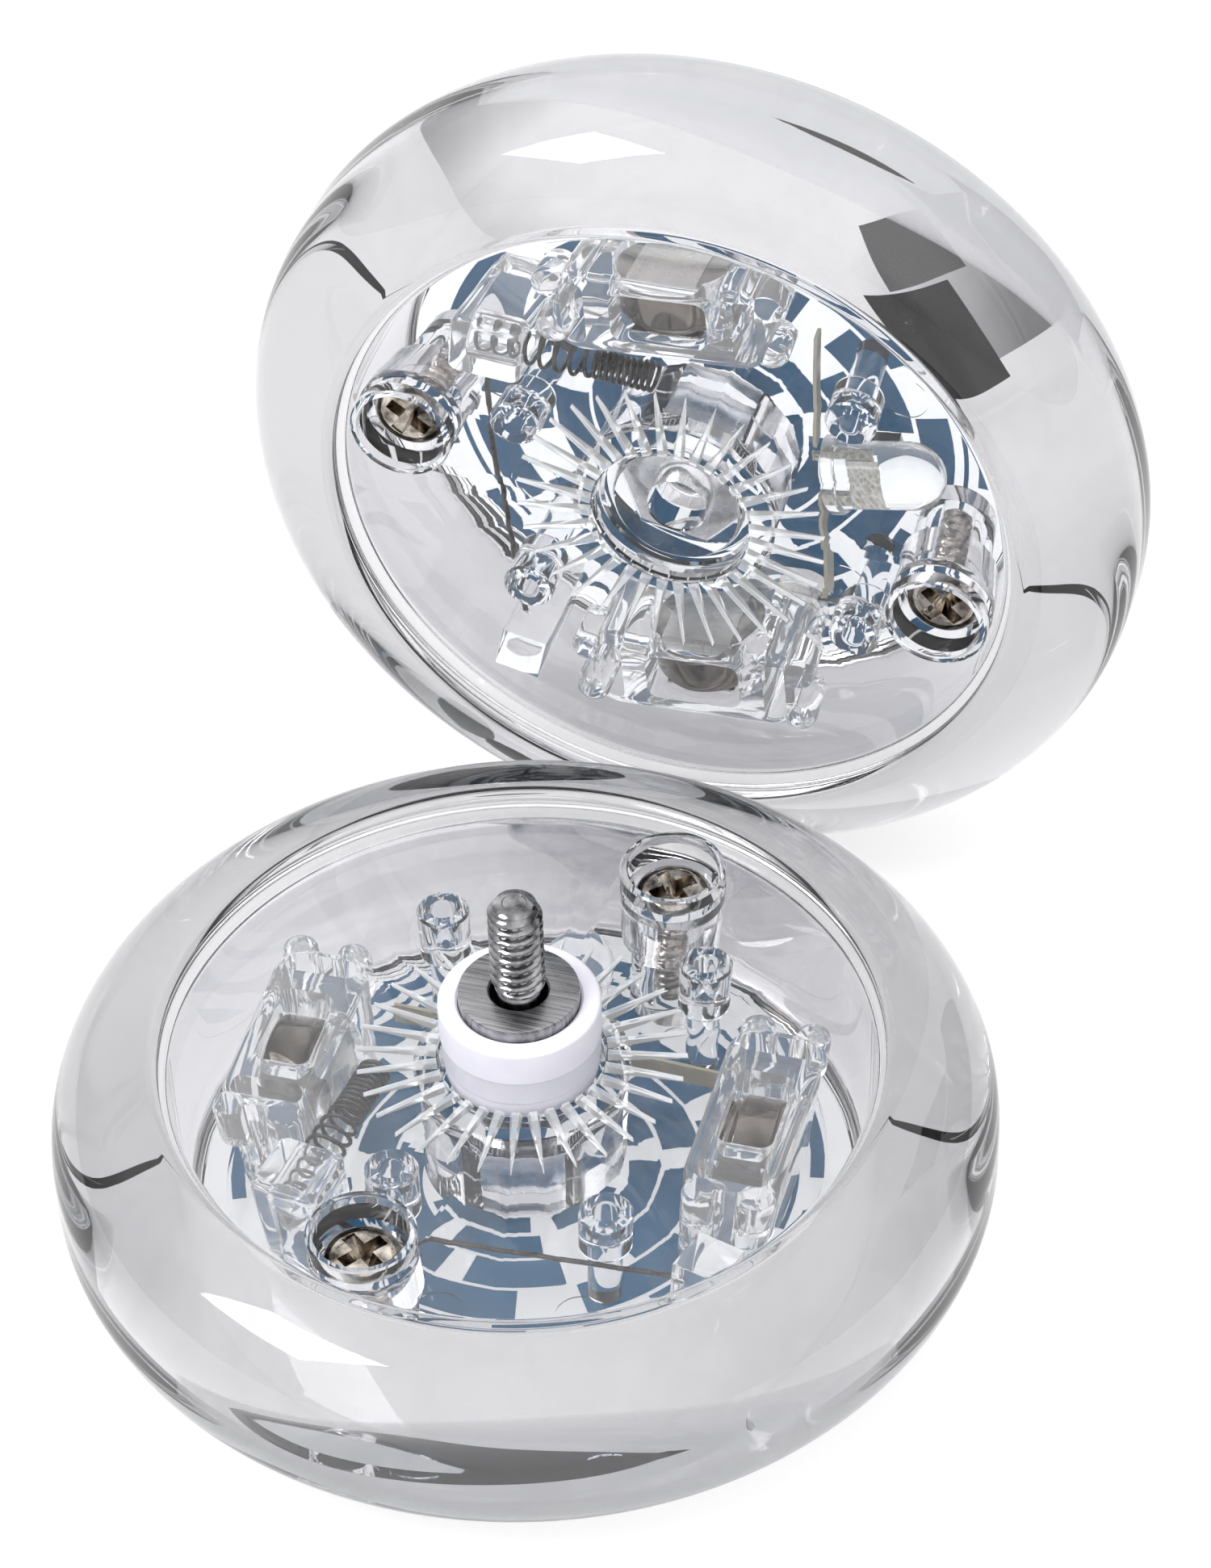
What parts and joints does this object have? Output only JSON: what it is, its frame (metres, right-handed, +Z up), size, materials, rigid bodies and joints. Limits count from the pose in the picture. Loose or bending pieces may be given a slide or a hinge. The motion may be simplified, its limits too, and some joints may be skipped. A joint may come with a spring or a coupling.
{
  "type": "yo-yo",
  "caption": "Clear light-up take-apart yo-yo shown open: two identical halves with light modules, a threaded axle, steel sleeve and white bearing ring.",
  "frame": {"origin": "centre of the lower half's flat outer face, where it lies on the surface", "axes": "+Z up along the lower half's axle, +Y towards the half that stands on its rim"},
  "size_m": [0.061, 0.0786, 0.061],
  "materials": {
    "clear_shell": "clear, polished",
    "clear_cap": "clear, polished",
    "blue_film": "printed film",
    "clear_module": "clear, moulded",
    "clear_lens": "clear epoxy",
    "nickel_screw": "nickel plated",
    "zinc_nut": "plated",
    "cell_steel": "satin nickel",
    "contact_steel": "sheared strip",
    "spring_steel": "drawn wire",
    "contact_strip": "tinned, cream",
    "lead_frame": "knurled",
    "zinc_rod": "zinc plated thread",
    "brushed_sleeve": "ground end face",
    "white_acetal": "moulded"
  },
  "bodies": {
    "lower_half": {"lower_shell": "clear_shell", "lower_screws": "nickel_screw", "lower_nut": "zinc_nut", "axle_rod": "zinc_rod"},
    "sleeve": {"axle_sleeve": "brushed_sleeve"},
    "bearing": {"bearing_ring": "white_acetal"},
    "lower_module": {"lower_cap": "clear_cap", "lower_label": "blue_film", "lower_carrier": "clear_module", "lower_battery_box_a": "clear_module", "lower_battery_box_b": "clear_module", "lower_cell_a": "cell_steel", "lower_cell_b": "cell_steel", "lower_battery_contacts": "contact_steel", "lower_spring_holder": "clear_module", "lower_switch_wire": "spring_steel", "lower_contact_block": "clear_module", "lower_contact_strip_a": "contact_strip", "lower_contact_strip_b": "contact_strip", "lower_led_lens": "clear_lens", "lower_led_frame": "lead_frame"},
    "lower_switch": {"lower_switch_spring": "spring_steel"},
    "upper_half": {"upper_shell": "clear_shell", "upper_screws": "nickel_screw", "upper_nut": "zinc_nut"},
    "upper_module": {"upper_cap": "clear_cap", "upper_label": "blue_film", "upper_carrier": "clear_module", "upper_battery_box_a": "clear_module", "upper_battery_box_b": "clear_module", "upper_cell_a": "cell_steel", "upper_cell_b": "cell_steel", "upper_battery_contacts": "contact_steel", "upper_spring_holder": "clear_module", "upper_switch_wire": "spring_steel", "upper_contact_block": "clear_module", "upper_contact_strip_a": "contact_strip", "upper_contact_strip_b": "contact_strip", "upper_led_lens": "clear_lens", "upper_led_frame": "lead_frame"},
    "upper_switch": {"upper_switch_spring": "spring_steel"}
  },
  "joints": [
    {"name": "swing_closed", "type": "hinge", "parent": "lower_half", "child": "upper_half", "pos_m": [0, 0.0133, 0.0172], "axis": [1, 0, 0], "range_deg": [0, 90]},
    {"name": "sleeve_lift", "type": "slide", "parent": "lower_half", "child": "sleeve", "axis": [0, 0, 1], "range_m": [0, 0.015]},
    {"name": "bearing_spin", "type": "hinge", "parent": "sleeve", "child": "bearing", "pos_m": [0, 0, 0.016], "axis": [0, 0, 1], "continuous": true},
    {"name": "lower_module_out", "type": "slide", "parent": "lower_half", "child": "lower_module", "axis": [0, 0, -1], "range_m": [0, 0.013]},
    {"name": "upper_module_out", "type": "slide", "parent": "upper_half", "child": "upper_module", "axis": [0, 1, 0], "range_m": [0, 0.013]},
    {"name": "lower_switch", "type": "hinge", "parent": "lower_module", "child": "lower_switch", "pos_m": [-0.01106, -0.01307, 0.0104], "axis": [0, 0, 1], "range_deg": [0, 2.5], "stiffness_Nm_per_rad": 0.0001},
    {"name": "upper_switch", "type": "hinge", "parent": "upper_module", "child": "upper_switch", "pos_m": [-0.01339, 0.0377, 0.04117], "axis": [0, -1, 0], "range_deg": [0, 2.5], "stiffness_Nm_per_rad": 0.0001}
  ]
}
